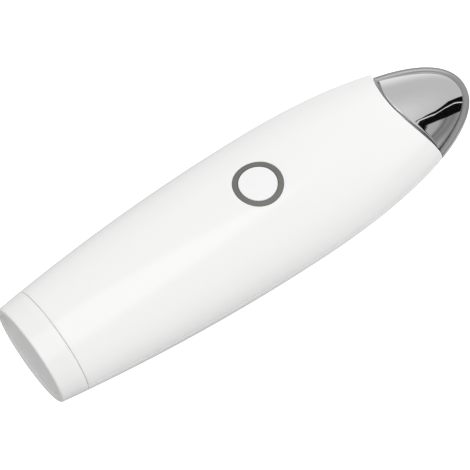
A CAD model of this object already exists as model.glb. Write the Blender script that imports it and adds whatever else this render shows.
# %% [markdown]
# # Heated eye massager wand: the looks
# The construction arrives as a finished frame of solids that already stand in the right place.
# This lesson dresses it: the outer shells are modelled again as smooth meshes, every solid
# gets a material, and the wand is lit and photographed. Pieces could be placed by eye, but here
# each one takes its place from the frame, so nothing has to be fitted afterwards.

# %% Load the frame
from math import cos, hypot, pi, radians, sin, sqrt, tan

import bmesh
import bpy
from mathutils import Matrix, Vector


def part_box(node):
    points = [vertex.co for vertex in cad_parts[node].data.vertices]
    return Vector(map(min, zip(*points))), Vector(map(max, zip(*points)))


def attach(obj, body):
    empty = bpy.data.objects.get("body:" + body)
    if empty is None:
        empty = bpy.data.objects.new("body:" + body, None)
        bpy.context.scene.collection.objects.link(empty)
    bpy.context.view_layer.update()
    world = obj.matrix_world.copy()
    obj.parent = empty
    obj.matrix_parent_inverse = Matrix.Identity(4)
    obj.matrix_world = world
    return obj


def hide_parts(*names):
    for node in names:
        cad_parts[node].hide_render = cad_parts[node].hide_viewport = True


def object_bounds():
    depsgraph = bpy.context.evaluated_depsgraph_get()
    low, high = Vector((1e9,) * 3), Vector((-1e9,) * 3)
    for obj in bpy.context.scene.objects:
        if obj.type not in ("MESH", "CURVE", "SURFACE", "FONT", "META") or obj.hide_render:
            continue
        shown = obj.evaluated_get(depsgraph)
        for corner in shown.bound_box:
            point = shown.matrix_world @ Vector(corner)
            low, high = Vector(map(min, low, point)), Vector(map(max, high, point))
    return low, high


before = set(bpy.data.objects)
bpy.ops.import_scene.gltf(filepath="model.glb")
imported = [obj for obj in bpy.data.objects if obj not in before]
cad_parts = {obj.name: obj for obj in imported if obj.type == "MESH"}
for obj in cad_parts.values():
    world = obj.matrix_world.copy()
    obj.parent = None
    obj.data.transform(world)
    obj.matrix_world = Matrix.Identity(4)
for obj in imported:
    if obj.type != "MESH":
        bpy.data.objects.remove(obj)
cad_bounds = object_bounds()

# %% [markdown]
# ## Measures
# The shells follow one outline: a barrel that narrows to the base and a nose shaped like a
# superellipse. The outline could be traced, but a formula stays smooth at any zoom. The pieces
# are drawn in millimetres along the wand, from the base at x = 0 to the tip, with z up from the
# long axis, and are moved to the frame at the end.

# %% Outline of the wand
MM = 0.001
low, high = cad_bounds
LENGTH = (high.x - low.x) / MM
WIDTH = (high.y - low.y) / MM
DEPTH_SHARE = 27 / 38.6
BASE_WIDTH = 28.3
NOSE_LENGTH = 60.9
NOSE_POWER = 2.25
NOSE_ROUND = 2.18
WIDEST_X = LENGTH - NOSE_LENGTH
TOP_Z = WIDTH / 2 * DEPTH_SHARE
AXIS_HEIGHT = high.z - TOP_Z * MM
BACK_Z = -AXIS_HEIGHT / MM


def half_width(x, inset=0.0):
    """Half the wand's width at x, drawn in by inset."""
    if x > WIDEST_X:
        share = min(1.0, (x - WIDEST_X) / (LENGTH - inset - WIDEST_X))
        return (WIDTH / 2 - inset) * (1 - share ** NOSE_POWER) ** (1 / NOSE_ROUND)
    share = (WIDEST_X - x) / WIDEST_X
    return WIDTH / 2 * (1 - (1 - BASE_WIDTH / WIDTH) * share ** 2) - inset


def top_height(x, y):
    """Height of the wand's skin over the point (x, y)."""
    return DEPTH_SHARE * sqrt(max(0.0, half_width(x) ** 2 - y ** 2))


print(f"outline: {LENGTH:.1f} x {WIDTH:.1f} mm, widest at {WIDEST_X:.1f}, back at {BACK_Z:.2f}")

# %% [markdown]
# The head meets the covers in a seam that is curved when seen from the side. It could be cut
# with a boolean, but a cut leaves ragged faces beside it. Here the rings of a skin are slid
# along the wand until the last one lies on the seam, so the faces stay even. The rim of the
# head lies in a plane that starts at the seam and rises towards the tip.

# %% The curved seam
SEAM_X = LENGTH - 16.8
SEAM_RADIUS = 24.0
SEAM_Z = -5.2
RIM_WIDTH = 1.95
RIM_Z = 0.66
RIM_SLOPE = tan(radians(5.1))
SLIDE_PASSES = 12
POLE = 0.01


def seam_x(z):
    """Where the seam lies at height z."""
    return SEAM_X - SEAM_RADIUS + sqrt(SEAM_RADIUS ** 2 - (z - SEAM_Z) ** 2)


def slide_to_seam(bm, fixed_x, moved_x, gap=0.0, inset=0.0):
    """Slides the rings beyond fixed_x so that the ring at moved_x lands on the seam."""
    for v in bm.verts:
        share = (v.co.x - fixed_x) / (moved_x - fixed_x)
        radius = half_width(v.co.x, inset)
        if share <= 0 or radius < POLE:
            continue
        y_share, z_share = v.co.y / radius, v.co.z / radius
        x = SEAM_X
        for _ in range(SLIDE_PASSES):
            x = seam_x(z_share * half_width(x, inset)) + gap
        x = fixed_x + share * (x - fixed_x)
        v.co = (x, y_share * half_width(x, inset), z_share * half_width(x, inset))


print(f"seam: x {seam_x(0):.2f} at the sides, {seam_x(8):.2f} near the top")

# %% [markdown]
# ## The camera
# The photograph was taken with a long lens from above the base, looking down the wand. The
# camera could be placed by trial, but its distance and angles were worked out from the outline,
# the seams and the button ring. It is turned where it aims, moved back along its own axis and
# rolled, as a hand would do it. The lens is shifted slightly, as in a picture that was cropped
# after it was taken.

# %% Camera
PHOTO_SIZE = 470
SENSOR = 36.0
FOCAL_PIXELS = 2428.9
CENTRE_PIXEL = (249.10, 217.09)
AIM = Vector((0.0, 1.3904, 10.3291)) * MM
DISTANCE = 604.131 * MM
TO_THE_BASE = radians(16.5816)
TO_THE_SIDE = radians(25.8662)
ROLL = radians(32.3090)

camera_data = bpy.data.cameras.new("camera")
camera_data.sensor_width = SENSOR
camera_data.lens = FOCAL_PIXELS * SENSOR / PHOTO_SIZE
camera_data.shift_x = (PHOTO_SIZE / 2 - CENTRE_PIXEL[0]) / PHOTO_SIZE
camera_data.shift_y = (CENTRE_PIXEL[1] - PHOTO_SIZE / 2) / PHOTO_SIZE
camera_data.clip_start = 0.01
camera_data.clip_end = 20
camera = bpy.data.objects.new("camera", camera_data)
bpy.context.scene.collection.objects.link(camera)
turn = (Matrix.Rotation(TO_THE_SIDE, 4, "X") @ Matrix.Rotation(-TO_THE_BASE, 4, "Y")
        @ Matrix.Rotation(-ROLL, 4, "Z"))
camera.matrix_world = Matrix.Translation(AIM) @ turn @ Matrix.Translation((0, 0, DISTANCE))
bpy.context.scene.camera = camera
print(f"camera: {camera_data.lens:.0f} mm lens, {DISTANCE:.2f} m away")

# %% [markdown]
# ## Effects that materials share
# Real plastic and metal are never one flat colour: tone and gloss drift a little over the
# surface, and there is a fine grain in it. Each material could carry its own noise textures,
# but one node group, used with other values each time, keeps them alike and easy to change.

# %% Node helpers
def add_node(tree, kind, **settings):
    """A new node with its settings or, by input name, its values."""
    node = tree.nodes.new(kind)
    for name, value in settings.items():
        if hasattr(node, name):
            setattr(node, name, value)
        else:
            node.inputs[name.replace("_", " ")].default_value = value
    return node


def feed(tree, socket, value):
    """Links another node's output to a socket, or sets a plain number there."""
    if isinstance(value, bpy.types.NodeSocket):
        tree.links.new(value, socket)
    else:
        socket.default_value = value


def calculate(tree, operation, *values, clamp=False):
    """A Math node on outputs or plain numbers, as its own output."""
    node = add_node(tree, "ShaderNodeMath", operation=operation, use_clamp=clamp)
    for socket, value in zip(node.inputs, values):
        feed(tree, socket, value)
    return node.outputs[0]


def object_place(tree):
    """The place on the piece, in metres: it doesn't slide when the piece moves."""
    return add_node(tree, "ShaderNodeTexCoord").outputs["Object"]


def new_group(name, inputs, outputs):
    """An empty shader group with the given sockets, and its two end nodes."""
    tree = bpy.data.node_groups.new(name, "ShaderNodeTree")
    for socket, (kind, value) in inputs.items():
        made = tree.interface.new_socket(socket, in_out="INPUT", socket_type="NodeSocket" + kind)
        made.default_value = value
    for socket, kind in outputs.items():
        tree.interface.new_socket(socket, in_out="OUTPUT", socket_type="NodeSocket" + kind)
    return tree, tree.nodes.new("NodeGroupInput"), tree.nodes.new("NodeGroupOutput")


print("helpers: add_node, feed, calculate, object_place, new_group")

# %% Node groups
def drifting_tone():
    """Colour and roughness that drift slowly over a surface, with a finer mottle on top."""
    tree, given, out = new_group(
        "drifting_tone",
        {"Colour": ("Color", (0.8, 0.8, 0.8, 1)), "Drift": ("Float", 0.05),
         "Roughness": ("Float", 0.4), "Spread": ("Float", 0.05), "Scale": ("Float", 60.0)},
        {"Colour": "Color", "Roughness": "Float"})
    link = tree.links.new
    slow = add_node(tree, "ShaderNodeTexNoise", Detail=4.0)
    link(object_place(tree), slow.inputs["Vector"])
    link(given.outputs["Scale"], slow.inputs["Scale"])
    centred = calculate(tree, "SUBTRACT", slow.outputs["Fac"], 0.5)
    shade = calculate(tree, "MULTIPLY_ADD", centred, given.outputs["Drift"], 1.0)
    tinted = add_node(tree, "ShaderNodeVectorMath", operation="SCALE")
    link(given.outputs["Colour"], tinted.inputs[0])
    link(shade, tinted.inputs["Scale"])
    link(tinted.outputs[0], out.inputs["Colour"])
    gloss = calculate(tree, "MULTIPLY_ADD", centred, given.outputs["Spread"],
                      given.outputs["Roughness"], clamp=True)
    link(gloss, out.inputs["Roughness"])
    return tree


def fine_grain():
    """Height of a fine grain; Stretch draws it out into brush lines along the wand."""
    tree, given, out = new_group(
        "fine_grain",
        {"Scale": ("Float", 3000.0), "Stretch": ("Vector", (1.0, 1.0, 1.0))},
        {"Height": "Float"})
    link = tree.links.new
    stretched = add_node(tree, "ShaderNodeVectorMath", operation="MULTIPLY")
    link(object_place(tree), stretched.inputs[0])
    link(given.outputs["Stretch"], stretched.inputs[1])
    grain = add_node(tree, "ShaderNodeTexNoise", Detail=3.0)
    link(stretched.outputs[0], grain.inputs["Vector"])
    link(given.outputs["Scale"], grain.inputs["Scale"])
    link(grain.outputs["Fac"], out.inputs["Height"])
    return tree


TONE = drifting_tone()
GRAIN = fine_grain()
print("groups:", TONE.name, "and", GRAIN.name)

# %% [markdown]
# ## Materials
# Each finish is one short call: a colour that drifts, a roughness that drifts, a grain for the
# bump, and what is the same all over, such as metal or a clear coat, set on the shader itself.
# Ready-made materials would be quicker, but would not match the gloss of this wand. Outside it
# has white plastic under a clear gloss, a brushed grey ring, and satin and polished chrome.

# %% A material in one call
BUMP_DEPTH = 0.1 * MM


def finish(name, colour, roughness, drift=0.05, spread=0.05, scale=60.0, grain=3000.0,
           stretch=(1.0, 1.0, 1.0), bump=0.02, **uniform):
    """A procedural material from the two shared groups; uniform sets shader inputs by name."""
    material = bpy.data.materials.new(name + "_finish")
    material["slot"] = name
    material.use_nodes = True
    tree = material.node_tree
    link = tree.links.new
    shader = tree.nodes["Principled BSDF"]
    tone = add_node(tree, "ShaderNodeGroup", node_tree=TONE, Drift=drift, Roughness=roughness,
                    Spread=spread, Scale=scale)
    tone.inputs["Colour"].default_value = (*colour, 1)
    link(tone.outputs["Colour"], shader.inputs["Base Color"])
    link(tone.outputs["Roughness"], shader.inputs["Roughness"])
    lines = add_node(tree, "ShaderNodeGroup", node_tree=GRAIN, Scale=grain, Stretch=stretch)
    raised = add_node(tree, "ShaderNodeBump", Strength=bump, Distance=BUMP_DEPTH)
    link(lines.outputs["Height"], raised.inputs["Height"])
    link(raised.outputs["Normal"], shader.inputs["Normal"])
    for socket, value in uniform.items():
        shader.inputs[socket.replace("_", " ")].default_value = value
    material.diffuse_color = (*colour, 1)
    return material


print(f"finish: bump up to {BUMP_DEPTH / MM:.1f} mm high")

# %% Materials of the outside
cover_white = finish("cover_white", (0.86, 0.86, 0.855), 0.16, drift=0.02, spread=0.04,
                     scale=45.0, grain=900.0, bump=0.03, Coat_Weight=0.4, Coat_Roughness=0.12)
cap_white = finish("cap_white", (0.84, 0.84, 0.835), 0.2, drift=0.02, spread=0.05,
                   scale=55.0, grain=900.0, bump=0.03, Coat_Weight=0.3, Coat_Roughness=0.08)
button_white = finish("button_white", (0.86, 0.86, 0.86), 0.25, drift=0.02, spread=0.04,
                      scale=150.0, grain=1200.0, bump=0.03, Coat_Weight=0.2)
ring_grey = finish("ring_grey", (0.2, 0.202, 0.188), 0.4, drift=0.12, spread=0.12,
                   scale=400.0, grain=2500.0, stretch=(0.2, 1.0, 1.0), bump=0.08, Metallic=0.5)
satin_chrome = finish("satin_chrome", (0.455, 0.455, 0.465), 0.3, drift=0.05, spread=0.06,
                      scale=120.0, grain=6000.0, stretch=(0.15, 1.0, 1.0), bump=0.1, Metallic=1.0)
polished_chrome = finish("polished_chrome", (0.9, 0.9, 0.9), 0.035, drift=0.01, spread=0.02,
                         scale=80.0, grain=700.0, bump=0.002, Metallic=1.0)
print("outside:", sum("slot" in material for material in bpy.data.materials), "finishes")

# %% [markdown]
# ## From a bmesh to a piece
# Most shells begin as a few points that are spun round an axis, as on a lathe, and all end the
# same way: scaled to metres, moved to the frame, put on the body that carries them and named as
# the stand-in for their solid. A real moulded edge is never sharp and catches a thin line of
# light. The turned pieces get theirs from a Bevel modifier. It keeps every rounding as small as
# the shortest edge beside it allows, so the shells, whose faces are finer, round their own lips.

# %% Turn a piece, finish a piece
LONG_AXIS = (1, 0, 0)
DOUBLES = 0.001
SHARP = radians(40)


def spaced(start, end, count):
    """Places from start to end, count equal steps apart."""
    return [start + (end - start) * i / count for i in range(count + 1)]


def turned(points, steps, centre=(0, 0, 0), axis=LONG_AXIS, closed=False):
    """A chain of points, spun all round an axis; closed joins its two ends."""
    bm = bmesh.new()
    chain = [bm.verts.new(point) for point in points]
    edges = [bm.edges.new(pair) for pair in zip(chain, chain[1:])]
    if closed:
        edges.append(bm.edges.new((chain[-1], chain[0])))
    bmesh.ops.spin(bm, geom=chain + edges, cent=centre, axis=axis, angle=2 * pi, steps=steps,
                   use_merge=True)
    bmesh.ops.remove_doubles(bm, verts=bm.verts, dist=DOUBLES)
    bmesh.ops.recalc_face_normals(bm, faces=bm.faces)
    return bm


def make_piece(name, bm, body, material, node, edge=0.0):
    """Moves a bmesh to the frame as a piece that rides on body and stands for node."""
    bmesh.ops.scale(bm, vec=(MM, MM, MM), verts=bm.verts)
    bmesh.ops.translate(bm, vec=(low.x, 0, AXIS_HEIGHT), verts=bm.verts)
    mesh = bpy.data.meshes.new(name)
    bm.to_mesh(mesh)
    bm.free()
    mesh.shade_smooth()
    mesh.materials.append(material)
    piece = bpy.data.objects.new(name, mesh)
    bpy.context.scene.collection.objects.link(piece)
    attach(piece, body)
    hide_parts(node)
    if edge:
        rounding = piece.modifiers.new("edge_rounding", "BEVEL")
        rounding.width = edge * MM
        rounding.segments = 3
        rounding.limit_method = "ANGLE"
        rounding.angle_limit = SHARP
        rounding.harden_normals = True
    print(f"{name}: {len(mesh.polygons)} faces")


print(f"pieces start at x = {low.x:.5f} m, their axis is {AXIS_HEIGHT:.5f} m above the ground")

# %% [markdown]
# ## The covers
# Two gloss white shells, moulded in plastic, meet along the sides. Each could be a block that
# is hollowed out, but a shell is what a mould makes: a skin is turned from the outline, pressed
# to the oval section, cut at the parting plane and then given its wall. Its lips are rounded
# a little, so that the seams and the parting line catch the light as real ones do.

# %% Skins and cuts
STEPS = 160
PLUG_LENGTH = 4.5
CAP_LENGTH = (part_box("end_cap")[1].x - low.x) / MM - PLUG_LENGTH
CAP_GAP = 0.2
COVER_START = CAP_LENGTH + CAP_GAP
COVER_GAP = 0.1
WALL = 1.6
RING_STEP = 0.9
SLIDE_FROM = 85.0


def oval_skin(stations, slide_from, gap):
    """The wand's oval skin with rings at stations; what lies at SEAM_X is slid to the seam."""
    bm = turned([(x, 0, half_width(x)) for x in stations], STEPS)
    bmesh.ops.scale(bm, vec=(1, 1, DEPTH_SHARE), verts=bm.verts)
    slide_to_seam(bm, slide_from, SEAM_X, gap)
    return bm


def cover_skin():
    """The skin of both covers, from the cap's seam to the head's."""
    rings = round((SEAM_X - COVER_START) / RING_STEP)
    return oval_skin(spaced(COVER_START, SEAM_X, rings), SLIDE_FROM, -COVER_GAP)


def slice_skin(bm, height, slope=0.0, keep="both"):
    """Cuts a skin by a plane at a height over SEAM_X that may rise along the wand."""
    bmesh.ops.bisect_plane(bm, geom=bm.verts[:] + bm.edges[:] + bm.faces[:], dist=DOUBLES / 10,
                           plane_co=(SEAM_X, 0, height), plane_no=(-slope, 0, 1),
                           clear_inner=keep == "above", clear_outer=keep == "below")


print(f"covers: from {COVER_START:.1f} to {SEAM_X:.1f} mm")

# %% Walls and lips
ON_EDGE = 0.01
SLIVER = 0.004
LIP = 0.2
LIP_STEPS = 3


def give_wall(bm, thickness, lips=()):
    """Gives a skin its wall, inwards, and rounds its outer lips: (test of a point, radius)."""
    bmesh.ops.remove_doubles(bm, verts=bm.verts, dist=ON_EDGE)
    bmesh.ops.recalc_face_normals(bm, faces=bm.faces)
    marked = [set(v for v in bm.verts if on_lip(v.co)) for on_lip, _ in lips]
    bmesh.ops.solidify(bm, geom=bm.faces[:], thickness=thickness)
    for verts, (_, radius) in zip(marked, lips):
        edges = [e for e in bm.edges if e.verts[0] in verts and e.verts[1] in verts]
        bmesh.ops.bevel(bm, geom=edges, offset=radius, segments=LIP_STEPS, profile=0.5,
                        affect="EDGES", material=-1)
    bmesh.ops.dissolve_degenerate(bm, dist=SLIVER, edges=bm.edges)


def cover_lip(point):
    """Whether a point lies on one of the covers' two round ends."""
    return (point.x < COVER_START + ON_EDGE
            or abs(point.x - seam_x(point.z) + COVER_GAP) < 2 * ON_EDGE)


print(f"walls: {WALL} mm, lips rounded by {LIP} mm")

# %% [markdown]
# The front cover has a round seat for the button. A boolean would cut it in one step, but leave
# long thin faces that show in the gloss. Here the rim is made from the faces that are already
# there: those inside the circle go, the ragged edge is drawn onto the circle, and the faces
# around it are relaxed. Then the rim is extruded down to form the seat.

# %% Measures of the seat
ring_low, ring_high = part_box("button_ring")
BUTTON_X = ((ring_low.x + ring_high.x) / 2 - low.x) / MM
RING_R = (ring_high.y - ring_low.y) / MM / 2
BUTTON_R = 4.85
BORE_R = BUTTON_R + 0.27
SEAT_R = RING_R + 0.06
SEAT_Z = TOP_Z - 1.3
ABOVE_SEAT = SEAT_Z + 0.1
SEAT_LIP = 0.08
BOSS_Z = TOP_Z - 2.7
BOSS_R = RING_R + 1.7


def from_button(point):
    """Distance of a point from the button's axis."""
    return hypot(point.x - BUTTON_X, point.y)


def seat_lip(point):
    """Whether a point lies on the upper edge of the seat."""
    return abs(from_button(point) - SEAT_R) < ON_EDGE and point.z > ABOVE_SEAT


print(f"seat: {SEAT_R:.2f} mm in radius, {BUTTON_X:.1f} mm from the base")

# %% Cut and extrude the seat
CUT_MARGIN = 0.2
RAGGED = 2.0
RELAXED = 3.0
RELAX_PASSES = 6


def draw_to_circle(verts, radius):
    """Moves points straight out or in to a circle round the button's axis."""
    for v in verts:
        factor = radius / from_button(v.co)
        v.co.x = BUTTON_X + (v.co.x - BUTTON_X) * factor
        v.co.y *= factor


def ends(edges):
    """The points of some edges, each once."""
    return list(dict.fromkeys(v for e in edges for v in e.verts))


def extrude_rim(bm, edges):
    """Extrudes open edges and returns the new edges and points."""
    made = bmesh.ops.extrude_edge_only(bm, edges=edges)["geom"]
    verts = [g for g in made if isinstance(g, bmesh.types.BMVert)]
    edges = [g for g in made if isinstance(g, bmesh.types.BMEdge) and g.is_boundary]
    return edges, verts


def cut_button_seat(bm):
    """Opens the round seat and extrudes its wall, floor and bore."""
    inside = [f for f in bm.faces if from_button(f.calc_center_median()) < SEAT_R + CUT_MARGIN]
    bmesh.ops.delete(bm, geom=inside, context="FACES")
    rim = [e for e in bm.edges if e.is_boundary
           and max(from_button(v.co) for v in e.verts) < SEAT_R + RAGGED]
    rim_verts = ends(rim)
    draw_to_circle(rim_verts, SEAT_R)
    on_rim = set(rim_verts)
    near = [v for v in bm.verts if from_button(v.co) < SEAT_R + RELAXED and v not in on_rim]
    for _ in range(RELAX_PASSES):
        bmesh.ops.smooth_vert(bm, verts=near, factor=0.5, use_axis_x=True, use_axis_y=True)
    for v in rim_verts + near:
        v.co.z = top_height(v.co.x, v.co.y)
    rim, verts = extrude_rim(bm, rim)
    for v in verts:
        v.co.z = SEAT_Z
    rim, verts = extrude_rim(bm, rim)
    draw_to_circle(verts, BORE_R)
    rim, verts = extrude_rim(bm, rim)
    for v in verts:
        v.co.z = BOSS_Z


print(f"seat: {TOP_Z - SEAT_Z:.1f} mm deep, its bore {TOP_Z - BOSS_Z:.1f} mm")

# %% Front cover
PARTING = 0.15
PARTING_LIP = 0.22
CORNER = 0.8
skin = cover_skin()
slice_skin(skin, PARTING, keep="above")
corners = [v for v in skin.verts if v.co.z < PARTING + ON_EDGE and v.co.x < COVER_START + 0.1]
bmesh.ops.bevel(skin, geom=corners, offset=CORNER, segments=5, profile=0.5, affect="VERTICES",
                material=-1)
cut_button_seat(skin)
give_wall(skin, WALL, [(cover_lip, LIP), (seat_lip, SEAT_LIP),
                       (lambda point: abs(point.z - PARTING) < DOUBLES, PARTING_LIP)])
for v in skin.verts:
    if from_button(v.co) < BOSS_R and v.co.z < BOSS_Z:
        v.co.z = BOSS_Z
make_piece("front_cover_shell", skin, "body", cover_white, "front_cover")

# %% Rear cover
skin = cover_skin()
slice_skin(skin, 0.0, keep="below")
slice_skin(skin, BACK_Z)
for v in skin.verts:
    v.co.z = max(v.co.z, BACK_Z)
give_wall(skin, WALL, [(cover_lip, LIP), (lambda point: abs(point.z) < DOUBLES, PARTING_LIP)])
make_piece("rear_cover_shell", skin, "body", cover_white, "rear_cover")

# %% [markdown]
# ## The end cap
# The base end is a cap that pulls off to reach the cell. It could be put together from a lid
# and a plug, but on a lathe both are one outline: a shallow recess, a rounded rim, the outside,
# and the plug that goes into the covers, with a groove for its seal. The outside is then pressed
# to the covers' oval, and the plug to the slightly flatter oval inside them.

# %% End cap
PLUG_HALF = half_width(CAP_LENGTH) - WALL - 0.15
PLUG_WALL = 1.0
PLUG_END = CAP_LENGTH + PLUG_LENGTH
RECESS = 0.8
RECESS_RIM = 1.6
BASE_ROUND = 0.5
CAP_FLOOR = RECESS + 1.6
CAP_EDGE = COVER_START - 0.04
CAP_RINGS = (1.5, 3.2, 4.9)
SEAL_X = CAP_LENGTH + PLUG_LENGTH / 2
SEAL_HALF = 0.55
SEAL_FLOOR = PLUG_HALF - 0.9
NEAR_SKIN = 0.3
QUARTER = [radians(angle) for angle in range(0, 91, 15)]
socket_half = half_width(CAP_LENGTH) - WALL
plug_press = half_width(CAP_LENGTH) * DEPTH_SHARE - WALL - socket_half


def press_cap(bm):
    """Presses the turned cap to its ovals: the outside to the covers', the rest to the plug's."""
    for v in bm.verts:
        radius = hypot(v.co.y, v.co.z)
        if v.co.x < RECESS + ON_EDGE or radius > half_width(v.co.x) - NEAR_SKIN:
            v.co.z *= DEPTH_SHARE
        elif radius > POLE:
            v.co.z *= (plug_press + radius) / radius


recess = [(RECESS, 0), (RECESS, half_width(0) - RECESS_RIM), (0, half_width(0) - RECESS_RIM)]
base_rim = [(BASE_ROUND * (1 - cos(a)), half_width(BASE_ROUND) - BASE_ROUND * (1 - sin(a)))
            for a in QUARTER]
cap_side = [(x, half_width(x)) for x in CAP_RINGS]
cap_lip = [(CAP_EDGE - LIP * (1 - sin(a)), half_width(CAP_EDGE) - LIP * (1 - cos(a)))
           for a in QUARTER]
seal_groove = [(SEAL_X - SEAL_HALF, PLUG_HALF), (SEAL_X - SEAL_HALF, SEAL_FLOOR),
               (SEAL_X + SEAL_HALF, SEAL_FLOOR), (SEAL_X + SEAL_HALF, PLUG_HALF)]
plug = [(PLUG_END, PLUG_HALF), (PLUG_END, PLUG_HALF - PLUG_WALL),
        (CAP_FLOOR, PLUG_HALF - PLUG_WALL), (CAP_FLOOR, 0)]
profile = recess + base_rim + cap_side + cap_lip + [(CAP_EDGE, PLUG_HALF)] + seal_groove + plug
cap = turned([(x, 0, radius) for x, radius in profile], STEPS)
press_cap(cap)
make_piece("end_cap_shell", cap, "cap", cap_white, "end_cap", edge=0.1)

# %% [markdown]
# ## The button and its trim ring
# The button sits flush in a flat grey ring. Both could be cut out of the cover's skin, but the
# cut edges would be ragged. They are turned about the button's own axis instead, and their top
# faces are lifted onto the curve of the cover, which makes them look flush from every side.

# %% Button and ring
BUTTON_STEPS = 96
FLANGE_R = RING_R - 0.3
FLANGE_Z = BOSS_Z - 0.05
FLANGE = 1.0
STEM_R = 1.6
STEM_END = (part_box("switch_plunger")[1].z - AXIS_HEIGHT) / MM + 0.05
RING_INNER = BUTTON_R + 0.12


def turned_upright(profile, closed=False):
    """A chain of (out, up) points, spun round the button's axis."""
    return turned([(BUTTON_X + out, 0, up) for out, up in profile], BUTTON_STEPS,
                  centre=(BUTTON_X, 0, 0), axis=(0, 0, 1), closed=closed)


def lift_to_skin(bm, above):
    """Lifts the points over a height by as much as the cover's skin curves down there."""
    for v in bm.verts:
        if v.co.z > above:
            v.co.z += top_height(v.co.x, v.co.y) - TOP_Z


button = turned_upright([(BUTTON_R * share, TOP_Z) for share in (0, 0.2, 0.4, 0.6, 0.8, 0.95, 1)]
                        + [(BUTTON_R, FLANGE_Z), (FLANGE_R, FLANGE_Z),
                           (FLANGE_R, FLANGE_Z - FLANGE), (STEM_R, FLANGE_Z - FLANGE),
                           (STEM_R, STEM_END), (0, STEM_END)])
lift_to_skin(button, SEAT_Z)
make_piece("power_button_top", button, "button", button_white, "power_button", edge=0.2)
ring = turned_upright([(RING_INNER + (RING_R - RING_INNER) * share, TOP_Z)
                       for share in (0, 0.33, 0.67, 1)]
                      + [(RING_R, SEAT_Z), (RING_INNER, SEAT_Z)], closed=True)
lift_to_skin(ring, ABOVE_SEAT)
make_piece("button_trim_ring", ring, "body", ring_grey, "button_ring", edge=0.1)

# %% [markdown]
# ## The dome
# The polished plate is what touches the skin. It is a dome: arcs struck round an axis that
# slopes down to the tip, from crease to crease of the rim. It could be shaped by hand, but a
# mirror shows every uneven face, so each of its points comes from one formula, by its station
# along the wand and its side. The head uses the formula too, for the groove at the seam.

# %% The dome's formula
CROWN_DROP = 1.46
CROWN_TILT = radians(10)
PLATE_OVERLAP = 0.06
SEAM_PASSES = 30
crown_height = half_width(SEAM_X) * DEPTH_SHARE - CROWN_DROP - RIM_Z
crown_width = half_width(SEAM_X, RIM_WIDTH)
plate_drop = (crown_width ** 2 - crown_height ** 2) / (2 * crown_height)
axis_start = Vector((SEAM_X - plate_drop * sin(CROWN_TILT), 0,
                     RIM_Z - plate_drop * cos(CROWN_TILT)))
axis_along = Vector((cos(CROWN_TILT), 0, -sin(CROWN_TILT)))
axis_up = Vector((sin(CROWN_TILT), 0, cos(CROWN_TILT)))
SLOPE_OUT = sin(CROWN_TILT) + RIM_SLOPE * cos(CROWN_TILT)
SLOPE_ALONG = cos(CROWN_TILT) - RIM_SLOPE * sin(CROWN_TILT)


def plate_point(station, side, sunk=0.0):
    """A point of the dome, or of a surface sunk below it; side runs from -1 to 1."""
    run = station - SEAM_X
    half = half_width(station, RIM_WIDTH) + PLATE_OVERLAP
    depth = plate_drop + run * SLOPE_OUT
    radius = hypot(half, depth)
    edge_angle = Vector((depth, half)).angle(Vector((1, 0)))
    out = axis_up * cos(side * edge_angle) + Vector((0, sin(side * edge_angle), 0))
    return axis_start + axis_along * run * SLOPE_ALONG + out * (radius - sunk)


def plate_start(side, gap, sunk=0.0):
    """The station whose point lies a gap beyond the seam, for one column of the plate."""
    station = SEAM_X
    for _ in range(SEAM_PASSES):
        point = plate_point(station, side, sunk)
        station += seam_x(point.z) + gap - point.x
    return station


print(f"dome: {crown_height:.1f} mm over the rim")

# %% [markdown]
# ## The head
# The head is a satin chrome shell with a rim all round its polished plate. The shell is the
# same oval skin as the covers', cut by the sloping plane of the rim. Its open edge is extruded
# in small steps that round the corner, then inwards over the flat rim to the crease, and down
# behind the plate. A bevel could round the corner, but the faces there are too narrow for it.

# %% Measures of the rim
RIM_ROUND = 0.35
RIM_TURNS = [radians(angle) for angle in (30, 60, 90)]
RIM_MERGE = 0.06
RIM_DROP = 0.5
HEAD_GAP = 0.03


def rim_height(x):
    """Height of the rim's plane at x."""
    return RIM_Z + RIM_SLOPE * (x - SEAM_X)


def cut_edges(bm):
    """The open edges that the cut below the rim left."""
    return [e for e in bm.edges if e.is_boundary
            and all(abs(v.co.z - rim_height(v.co.x) + RIM_ROUND) < ON_EDGE for v in e.verts)]


def crease_point(place, share):
    """The point of the crease that belongs to a point of the rim, from seam (0) to tip (1)."""
    side = 0 if share > 0.9999 else 1 if place.y > 0 else -1
    return Vector((place.x, side * half_width(place.x, RIM_WIDTH)))


print(f"rim: {RIM_WIDTH} mm wide, from {RIM_Z:.2f} to {rim_height(LENGTH):.2f} mm over the axis")

# %% Side and rim of the head
NOSE_RINGS = 64
NOSE_TIP = 4.0


def make_rim(bm):
    """Rounds the outer corner of the cut edge, and takes it in to the crease and down."""
    rim = cut_edges(bm)
    bmesh.ops.remove_doubles(bm, verts=ends(rim), dist=RIM_MERGE)
    rim = cut_edges(bm)
    verts = ends(rim)
    stages = [(RIM_ROUND * (1 - cos(turn)), RIM_ROUND * (1 - sin(turn))) for turn in RIM_TURNS]
    before = 0.0
    for inset, fall in stages + [(RIM_WIDTH, 0.0)]:
        seam_end, tip_end = min(v.co.x for v in verts), max(v.co.x for v in verts)
        rim, verts = extrude_rim(bm, rim)
        for v in verts:
            share = (v.co.x - seam_end) / (tip_end - seam_end)
            along = seam_end + share * (LENGTH - RIM_WIDTH - seam_end)
            crease = crease_point(Vector((along, v.co.y)), share)
            v.co.xy += (crease - v.co.xy) * (inset - before) / (RIM_WIDTH - before)
            v.co.z = rim_height(v.co.x) - fall
        before = inset
    rim, verts = extrude_rim(bm, rim)
    for v in verts:
        v.co.z -= RIM_DROP


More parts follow.
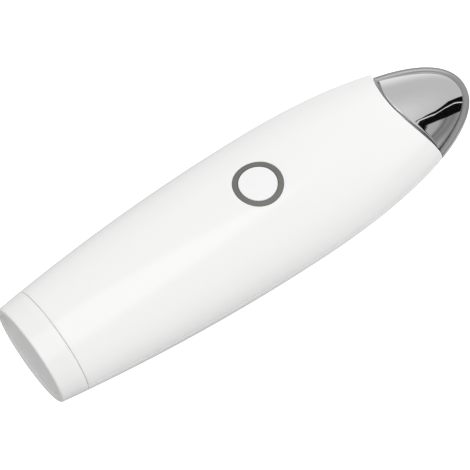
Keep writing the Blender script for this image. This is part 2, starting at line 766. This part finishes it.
nose = [SEAM_X + (LENGTH - SEAM_X) * sin(pi / 2 * share) for share in spaced(0, 1, NOSE_RINGS)]
skin = oval_skin(nose, LENGTH - NOSE_TIP, HEAD_GAP)
slice_skin(skin, RIM_Z - RIM_ROUND, RIM_SLOPE, keep="below")
make_rim(skin)
print("side and rim:", len(skin.faces), "faces")

# %% [markdown]
# Behind the seam a spigot, an oval tube, carries the head inside the covers, and a strip under
# the plate's edge is the bottom of the groove between plate and covers: light falls on it and
# not into the wand. They could be pieces of their own, but on the real wand both belong to the
# same casting, so they join the head's mesh.

# %% Head housing
SHELL_WALL = WALL + 0.1
SPIGOT_WALL = 1.4
SPIGOT_X = SEAM_X - 9
SPIGOT_RINGS = 8
SPIGOT_ROOT = 1.5
GROOVE = 0.25
GROOVE_DEPTH = 0.4
PLATE_THICKNESS = 1.0
PLATE_COLUMNS = 96


def spigot_tube():
    """The tube inside the covers; its lower half reaches a little into the head."""
    rings = spaced(SPIGOT_X, SEAM_X, SPIGOT_RINGS)
    bm = turned([(x, 0, half_width(x, WALL)) for x in rings], STEPS)
    bmesh.ops.scale(bm, vec=(1, 1, (TOP_Z - WALL) / (WIDTH / 2 - WALL)), verts=bm.verts)
    slide_to_seam(bm, SPIGOT_X, SEAM_X, 0.0, WALL)
    for v in bm.verts:
        if v.co.z < RIM_Z - 1 and abs(v.co.x - seam_x(v.co.z)) < ON_EDGE:
            v.co.x += SPIGOT_ROOT
    give_wall(bm, SPIGOT_WALL)
    return bm


def groove_strip():
    """The strip from under the covers' edge to under the plate's, sunk below the dome."""
    bm = bmesh.new()
    bmesh.ops.create_grid(bm, x_segments=1, y_segments=PLATE_COLUMNS, size=1)
    for v in bm.verts:
        side = v.co.y
        start = plate_start(side, -COVER_GAP if v.co.x < 0 else GROOVE, GROOVE_DEPTH)
        v.co = plate_point(start, side, GROOVE_DEPTH)
    give_wall(bm, PLATE_THICKNESS - GROOVE_DEPTH)
    return bm


def add_mesh(bm, other):
    """Adds a second bmesh to the first."""
    extra = bpy.data.meshes.new("extra")
    other.to_mesh(extra)
    other.free()
    bm.from_mesh(extra)
    bpy.data.meshes.remove(extra)


def head_lip(point):
    """Whether a point lies on the head's edge along the seam."""
    return abs(point.x - seam_x(point.z) - HEAD_GAP) < ON_EDGE


give_wall(skin, SHELL_WALL, [(head_lip, LIP / 2)])
add_mesh(skin, spigot_tube())
add_mesh(skin, groove_strip())
make_piece("head_housing_shell", skin, "body", satin_chrome, "head_housing")

# %% [markdown]
# ## The polished plate
# The plate could be spun as an arc, but would then have to be cut along the curved seam. A flat
# grid that is bent onto the dome's formula needs no cut: its columns follow the crease and its
# first row the seam. A mirror finish shows any change of direction, so the grid is fine, and
# finer towards the tip.

# %% Polished plate
PLATE_RINGS = 60
PLATE_EDGE = 0.28


def at_groove(point):
    """Whether a point lies on the plate's edge along the groove."""
    return abs(point.x - seam_x(point.z) - GROOVE) < ON_EDGE


dome = bmesh.new()
bmesh.ops.create_grid(dome, x_segments=PLATE_RINGS, y_segments=PLATE_COLUMNS, size=1)
for v in dome.verts:
    side = v.co.y
    start = plate_start(side, GROOVE)
    share = sin(pi / 4 * (v.co.x + 1))
    v.co = plate_point(start + (LENGTH - RIM_WIDTH - start) * share, side)
give_wall(dome, PLATE_THICKNESS, [(at_groove, PLATE_EDGE)])
make_piece("massage_plate_dome", dome, "body", polished_chrome, "massage_plate")

# %% [markdown]
# ## The contact spring
# Behind the cell a conical spring in the cap presses it forward. It could be turned as rings,
# but a spring is one wound wire, so it is a curve with a round section whose points come from
# its turns.

# %% Contact spring
WIRE = 0.6
SPRING_TURNS = 3.5
CAP_RADIUS, CELL_RADIUS = 4.4, 2.8
POINTS_A_TURN = 24
spring_low, spring_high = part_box("contact_spring")
wire_start, wire_end = spring_low.x + WIRE / 2 * MM, spring_high.x - WIRE / 2 * MM
wire_curve = bpy.data.curves.new("contact_spring_wire", "CURVE")
wire_curve.dimensions = "3D"
wire_curve.bevel_depth = WIRE / 2 * MM
wire_curve.bevel_resolution = 4
wire_curve.use_fill_caps = True
spline = wire_curve.splines.new("POLY")
places = spaced(0, 1, round(SPRING_TURNS * POINTS_A_TURN))
spline.points.add(len(places) - 1)
for point, share in zip(spline.points, places):
    turn = 2 * pi * SPRING_TURNS * share
    radius = (CAP_RADIUS + (CELL_RADIUS - CAP_RADIUS) * share) * MM
    point.co = (wire_start + (wire_end - wire_start) * share, radius * cos(turn),
                AXIS_HEIGHT + radius * sin(turn), 1)
spring_steel = finish("spring_steel", (0.62, 0.62, 0.6), 0.25, drift=0.1, spread=0.1, scale=400.0,
                      grain=4000.0, bump=0.05, Metallic=1.0)
wire_curve.materials.append(spring_steel)
contact_spring = bpy.data.objects.new("contact_spring_coil", wire_curve)
bpy.context.scene.collection.objects.link(contact_spring)
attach(contact_spring, "cap")
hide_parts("contact_spring")
print("contact spring:", len(places), "points")

# %% [markdown]
# ## What is inside
# The solids inside already have the right shape, so they could be left alone, but plain grey
# ones would look like a drawing. Each gets the finish of its real material: rubber, plated
# metal, amber film, moulded plastic, copper winding. They show when the cap is pulled off.

# %% Materials of the seals, the cell and the board
seal_rubber = finish("seal_rubber", (0.03, 0.03, 0.03), 0.6, drift=0.2, spread=0.1, scale=300.0,
                     grain=2500.0, bump=0.1)
contact_metal = finish("contact_metal", (0.72, 0.7, 0.66), 0.22, drift=0.06, spread=0.12,
                       scale=200.0, grain=3000.0, stretch=(0.1, 1.0, 1.0), bump=0.05, Metallic=1.0)
film_amber = finish("film_amber", (0.62, 0.24, 0.03), 0.3, drift=0.15, spread=0.1, scale=150.0,
                    grain=2000.0, bump=0.03, Coat_Weight=0.3)
component_black = finish("component_black", (0.025, 0.025, 0.027), 0.45, drift=0.2, spread=0.1,
                         scale=500.0, grain=6000.0, bump=0.1)
frame_plastic = finish("frame_plastic", (0.6, 0.6, 0.57), 0.45, drift=0.04, spread=0.08,
                       scale=80.0, grain=2500.0, bump=0.06)
battery_jacket = finish("battery_jacket", (0.75, 0.42, 0.05), 0.3, drift=0.08, spread=0.08,
                        scale=120.0, grain=1500.0, bump=0.04, Coat_Weight=0.5)
board_green = finish("board_green", (0.02, 0.16, 0.05), 0.35, drift=0.15, spread=0.1,
                     scale=300.0, grain=5000.0, bump=0.08, Coat_Weight=0.3)
screw_steel = finish("screw_steel", (0.5, 0.5, 0.5), 0.3, drift=0.1, spread=0.12, scale=600.0,
                     grain=5000.0, bump=0.06, Metallic=1.0)
capacitor_tan = finish("capacitor_tan", (0.42, 0.3, 0.17), 0.5, drift=0.1, spread=0.1,
                       scale=900.0, grain=6000.0, bump=0.08)
print("with these:", sum("slot" in material for material in bpy.data.materials), "finishes")

# %% Materials of the switch, the motor and the leads
plunger_grey = finish("plunger_grey", (0.2, 0.2, 0.21), 0.4, drift=0.08, spread=0.08,
                      scale=400.0, grain=4000.0, bump=0.06)
can_steel = finish("can_steel", (0.58, 0.58, 0.57), 0.28, drift=0.06, spread=0.1, scale=200.0,
                   grain=3500.0, stretch=(0.1, 1.0, 1.0), bump=0.05, Metallic=1.0)
magnet_dark = finish("magnet_dark", (0.06, 0.06, 0.065), 0.5, drift=0.2, spread=0.1, scale=500.0,
                     grain=5000.0, bump=0.1, Metallic=0.4)
winding_copper = finish("winding_copper", (0.7, 0.28, 0.12), 0.35, drift=0.15, spread=0.1,
                        scale=400.0, grain=4000.0, stretch=(1.0, 0.1, 0.1), bump=0.3, Metallic=0.9)
weight_alloy = finish("weight_alloy", (0.4, 0.4, 0.41), 0.35, drift=0.1, spread=0.1, scale=400.0,
                      grain=5000.0, bump=0.08, Metallic=1.0)
lead_red = finish("lead_red", (0.5, 0.02, 0.02), 0.4, drift=0.1, spread=0.08, scale=500.0,
                  grain=4000.0, bump=0.04)
lead_white = finish("lead_white", (0.75, 0.75, 0.72), 0.4, drift=0.05, spread=0.08, scale=500.0,
                    grain=4000.0, bump=0.04)
print("in all:", sum("slot" in material for material in bpy.data.materials), "finishes")

# %% [markdown]
# The cell's printed jacket ends short of its two ends, where its bare metal shows. It could be a
# second material on some of the faces, but the solid's faces run all the way, so the jacket's
# colour changes to metal by the place along the wand.

# %% Bare ends of the cell
CELL_BASE = 0.6 * MM
CELL_CROWN = 1.4 * MM
CELL_METAL = (0.62, 0.62, 0.6)


def fade(tree, share, first, second, data_type="FLOAT"):
    """first where share is 0, second where it is 1."""
    node = add_node(tree, "ShaderNodeMix", data_type=data_type)
    inputs = [socket for socket in node.inputs if socket.enabled]
    for socket, value in zip(inputs, (share, first, second)):
        feed(tree, socket, value)
    return next(socket for socket in node.outputs if socket.enabled)


def bare_ends(material, start, end, metal):
    """Lets bare metal show on a piece outside the stretch from start to end along the wand."""
    tree = material.node_tree
    shader = tree.nodes["Principled BSDF"]
    along = add_node(tree, "ShaderNodeSeparateXYZ")
    tree.links.new(object_place(tree), along.inputs[0])
    off_middle = calculate(tree, "SUBTRACT", along.outputs["X"], (start + end) / 2)
    off_middle = calculate(tree, "ABSOLUTE", off_middle)
    bare = calculate(tree, "GREATER_THAN", off_middle, (end - start) / 2)
    jacket = shader.inputs["Base Color"].links[0].from_socket
    tree.links.new(fade(tree, bare, jacket, (*metal, 1), "RGBA"), shader.inputs["Base Color"])
    tree.links.new(bare, shader.inputs["Metallic"])


cell_low, cell_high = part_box("battery_cell")
bare_ends(battery_jacket, cell_low.x + CELL_BASE, cell_high.x - CELL_CROWN, CELL_METAL)
print(f"cell: {(cell_high.x - cell_low.x) / MM:.1f} mm long")

# %% Put them on the solids
FINISHES = {
    seal_rubber: ["cap_seal", "plate_gasket", "motor_sleeve"],
    contact_metal: ["cap_contact", "positive_contact", "negative_strip"],
    film_amber: ["heater_film"],
    component_black: ["thermal_sensor", "control_chip", "boost_inductor", "switch_body"],
    frame_plastic: ["plate_carrier", "inner_frame", "motor_saddle", "motor_clamp",
                    "motor_endbell"],
    battery_jacket: ["battery_cell"],
    board_green: ["circuit_board"],
    screw_steel: ["board_screws", "clamp_screws", "motor_shaft"],
    capacitor_tan: ["capacitors"],
    plunger_grey: ["switch_plunger"],
    can_steel: ["motor_can"],
    magnet_dark: ["motor_magnets"],
    winding_copper: ["motor_armature"],
    weight_alloy: ["eccentric_weight"],
    lead_red: ["motor_leads"],
    lead_white: ["heater_leads"],
}
for material, names in FINISHES.items():
    for name in names:
        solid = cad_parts[name]
        solid.data.materials.clear()
        solid.data.materials.append(material)
print("dressed:", sum(len(names) for names in FINISHES.values()), "solids")

# %% [markdown]
# ## Floor and light
# The photograph has a white ground and soft light from above. A plain white floor would turn
# grey where the lamp doesn't reach, so it glows a little for the camera alone: the wand isn't
# lit by it, and the chrome doesn't mirror it. Several small lamps would put hard spots on the
# gloss, so there is a single large softbox.

# %% Floor
FLOOR_SIZE = 6.0
FLOOR_GLOW = 0.85
floor_mesh = bpy.data.meshes.new("floor")
bm = bmesh.new()
bmesh.ops.create_grid(bm, x_segments=1, y_segments=1, size=FLOOR_SIZE / 2)
bm.to_mesh(floor_mesh)
bm.free()
floor = bpy.data.objects.new("floor", floor_mesh)
bpy.context.scene.collection.objects.link(floor)
floor.visible_glossy = False
floor_pale = finish("floor_pale", (0.55, 0.55, 0.55), 0.8, drift=0.01, spread=0.02, scale=5.0,
                    grain=300.0, bump=0.0, Specular_IOR_Level=0.0, Emission_Strength=1.0)
tree = floor_pale.node_tree
seen_by_camera = add_node(tree, "ShaderNodeLightPath").outputs["Is Camera Ray"]
glow = calculate(tree, "MULTIPLY", seen_by_camera, FLOOR_GLOW)
tree.links.new(glow, tree.nodes["Principled BSDF"].inputs["Emission Color"])
floor_mesh.materials.append(floor_pale)
print(f"floor: {FLOOR_SIZE:.0f} m wide")

# %% Softbox
SOFTBOX_PLACE = Vector((-0.04, -0.035, 1.0))
SOFTBOX_SIZE = (0.56, 0.62)
SOFTBOX_WATTS = 0.95
softbox_data = bpy.data.lights.new("softbox", "AREA")
softbox_data.shape = "RECTANGLE"
softbox_data.size, softbox_data.size_y = SOFTBOX_SIZE
softbox_data.energy = SOFTBOX_WATTS
softbox = bpy.data.objects.new("softbox", softbox_data)
softbox.location = SOFTBOX_PLACE
softbox.rotation_euler = (-SOFTBOX_PLACE).to_track_quat("-Z", "Y").to_euler()
bpy.context.scene.collection.objects.link(softbox)
print(f"softbox: {SOFTBOX_WATTS} W, {SOFTBOX_PLACE.length:.2f} m away")

# %% [markdown]
# ## The surroundings
# A chrome head shows little of itself: what is seen in it are the things around it. They could
# be built as cards in a studio, but a world whose brightness depends on direction does the
# same. Beyond the tip hangs a dark band with a light line in it, over a grey ground. Each edge
# is a curve up to some height and a straight line over it, like the shape of a shade. What
# lights the white covers is kept apart from what the chrome mirrors.

# %% Directions
world = bpy.data.worlds.new("surroundings")
bpy.context.scene.world = world
world.use_nodes = True
tree = world.node_tree
tree.nodes.clear()
look = add_node(tree, "ShaderNodeTexCoord")
parts = add_node(tree, "ShaderNodeSeparateXYZ")
tree.links.new(look.outputs["Generated"], parts.inputs[0])
x, y, z = parts.outputs
print("directions: x along the wand, y across it, z up")

# %% Steps, curves and edges
def smooth_step(value, start, end):
    """0 before start, 1 after end, smooth between them; start may be the larger."""
    node = add_node(tree, "ShaderNodeMapRange", interpolation_type="SMOOTHSTEP",
                    From_Min=min(start, end), From_Max=max(start, end),
                    To_Min=float(start > end), To_Max=float(start < end))
    tree.links.new(value, node.inputs["Value"])
    return node.outputs[0]


def curve_by(value, stops):
    """A curve through (value, result) stops, the values from -1 to 1, the results from -2 to 2."""
    place = add_node(tree, "ShaderNodeMapRange", From_Min=-1.0)
    tree.links.new(value, place.inputs["Value"])
    node = add_node(tree, "ShaderNodeValToRGB")
    tree.links.new(place.outputs[0], node.inputs[0])
    ramp = node.color_ramp
    while len(ramp.elements) < len(stops):
        ramp.elements.new(0.5)
    for element, (position, result) in zip(ramp.elements, stops):
        element.position = (position + 1) / 2
        element.color = [result / 4 + 0.5] * 3 + [1]
    return calculate(tree, "MULTIPLY_ADD", node.outputs["Color"], 4.0, -2.0)


def beside_curve(stops):
    """How far a direction lies beyond the curve y = f(z) through (z, y) stops."""
    return calculate(tree, "SUBTRACT", y, curve_by(z, stops))


def over_line(slope, height):
    """How far a direction lies over the straight edge z = height + slope * y."""
    return calculate(tree, "MULTIPLY_ADD", y, -slope, calculate(tree, "SUBTRACT", z, height))


def either(first, second):
    """The larger of two distances: it is over 0 where one of them is."""
    return calculate(tree, "MAXIMUM", first, second)


def both(first, second):
    """The product of two shares or strengths."""
    return calculate(tree, "MULTIPLY", first, second)


print("helpers: smooth_step, curve_by, beside_curve, over_line, either, both")

# %% The dark band
SHELF = [(-0.1, 0.004), (0.335, -0.114), (0.41, -0.232), (0.448, -0.238), (0.47, -0.262)]
GLEAM = [(0.0, -0.228), (0.25, -0.212), (0.335, -0.256), (0.38, -0.308), (0.46, -0.295)]
LOWER = [(0.0, -0.405), (0.18, -0.466), (0.34, -0.462)]
SHELF_TOP, GLEAM_TOP, LOWER_TOP = (0.27, 0.557), (0.26, 0.542), (0.84, 0.718)
GLEAM_BEND = 2.2
SHELF_BLUR = 0.008
LOWER_BLUR = 0.01
GLEAM_FADE = (0.016, 0.008)
BAND_BLACK = 0.004
GLEAM_WHITE = 0.75
shelf = either(beside_curve(SHELF), over_line(*SHELF_TOP))
gleam = either(beside_curve(GLEAM), both(over_line(*GLEAM_TOP), GLEAM_BEND))
lower = either(beside_curve(LOWER), over_line(*LOWER_TOP))
ahead = both(smooth_step(x, 0.4, 0.6), smooth_step(z, -0.3, -0.1))
in_band = both(smooth_step(shelf, SHELF_BLUR, -SHELF_BLUR),
               smooth_step(lower, -LOWER_BLUR, LOWER_BLUR))
in_band = both(in_band, ahead)
in_gleam = smooth_step(calculate(tree, "ABSOLUTE", gleam), *GLEAM_FADE)
band = fade(tree, in_gleam, BAND_BLACK, GLEAM_WHITE)
print("band: black", BAND_BLACK, "with a line of", GLEAM_WHITE)

# %% What the chrome mirrors
AROUND = [(-1.0, 0.8), (-0.5, 0.79), (-0.3, 0.73), (-0.2, 0.65), (-0.1, 0.59), (0.0, 0.54),
          (0.3, 0.535), (0.42, 0.56), (0.5, 0.6), (0.57, 0.68), (0.7, 0.6), (1.0, 0.55)]
BESIDE = [(-1.0, 0.5), (-0.3, 0.42), (-0.19, 0.29), (-0.08, 0.2), (-0.02, 0.24), (0.01, 0.148),
          (0.07, 0.40), (0.3, 0.45), (1.0, 0.5)]
STREAK = (0.83, 0.569)
UNDER_SHADE = [(-1.0, -0.7), (0.0, -0.5), (1.0, -0.3)]
below_band = both(smooth_step(lower, LOWER_BLUR, -LOWER_BLUR), smooth_step(x, 0.3, 0.5))
mirrored = fade(tree, below_band, curve_by(z, AROUND), curve_by(over_line(*STREAK), BESIDE))
mirrored = fade(tree, in_band, mirrored, band)
under = both(smooth_step(z, 0.1, -0.3), smooth_step(x, 0.4, 0.2))
darker = calculate(tree, "MULTIPLY_ADD", under, curve_by(y, UNDER_SHADE), 1.0)
mirrored = both(mirrored, darker)
print("mirrored:", len(AROUND) + len(BESIDE), "stops of brightness")

# %% What lights the wand
ACROSS_LIGHT = [(-1.0, 1.3), (-0.5, 1.3), (0.0, 0.95), (1.0, 1.32)]
ALONG_LIGHT = [(-1.0, 0.2), (-0.4, 0.8), (0.0, 1.0), (1.0, 1.0)]
lighting = both(curve_by(y, ACROSS_LIGHT), curve_by(x, ALONG_LIGHT))
seen_in_gloss = add_node(tree, "ShaderNodeLightPath").outputs["Is Glossy Ray"]
background = add_node(tree, "ShaderNodeBackground")
background.inputs["Color"].default_value = (1, 1, 1, 1)
tree.links.new(fade(tree, seen_in_gloss, lighting, mirrored), background.inputs["Strength"])
world_out = add_node(tree, "ShaderNodeOutputWorld")
tree.links.new(background.outputs[0], world_out.inputs["Surface"])
bpy.context.scene.view_settings.view_transform = "Standard"
print("world:", len(tree.nodes), "nodes")

# %% [markdown]
# The dressed wand must have the size of its frame. It could be measured by eye in a render, but
# the boxes of both are written down, so that they can be compared to the last digit.


print("boxes written")
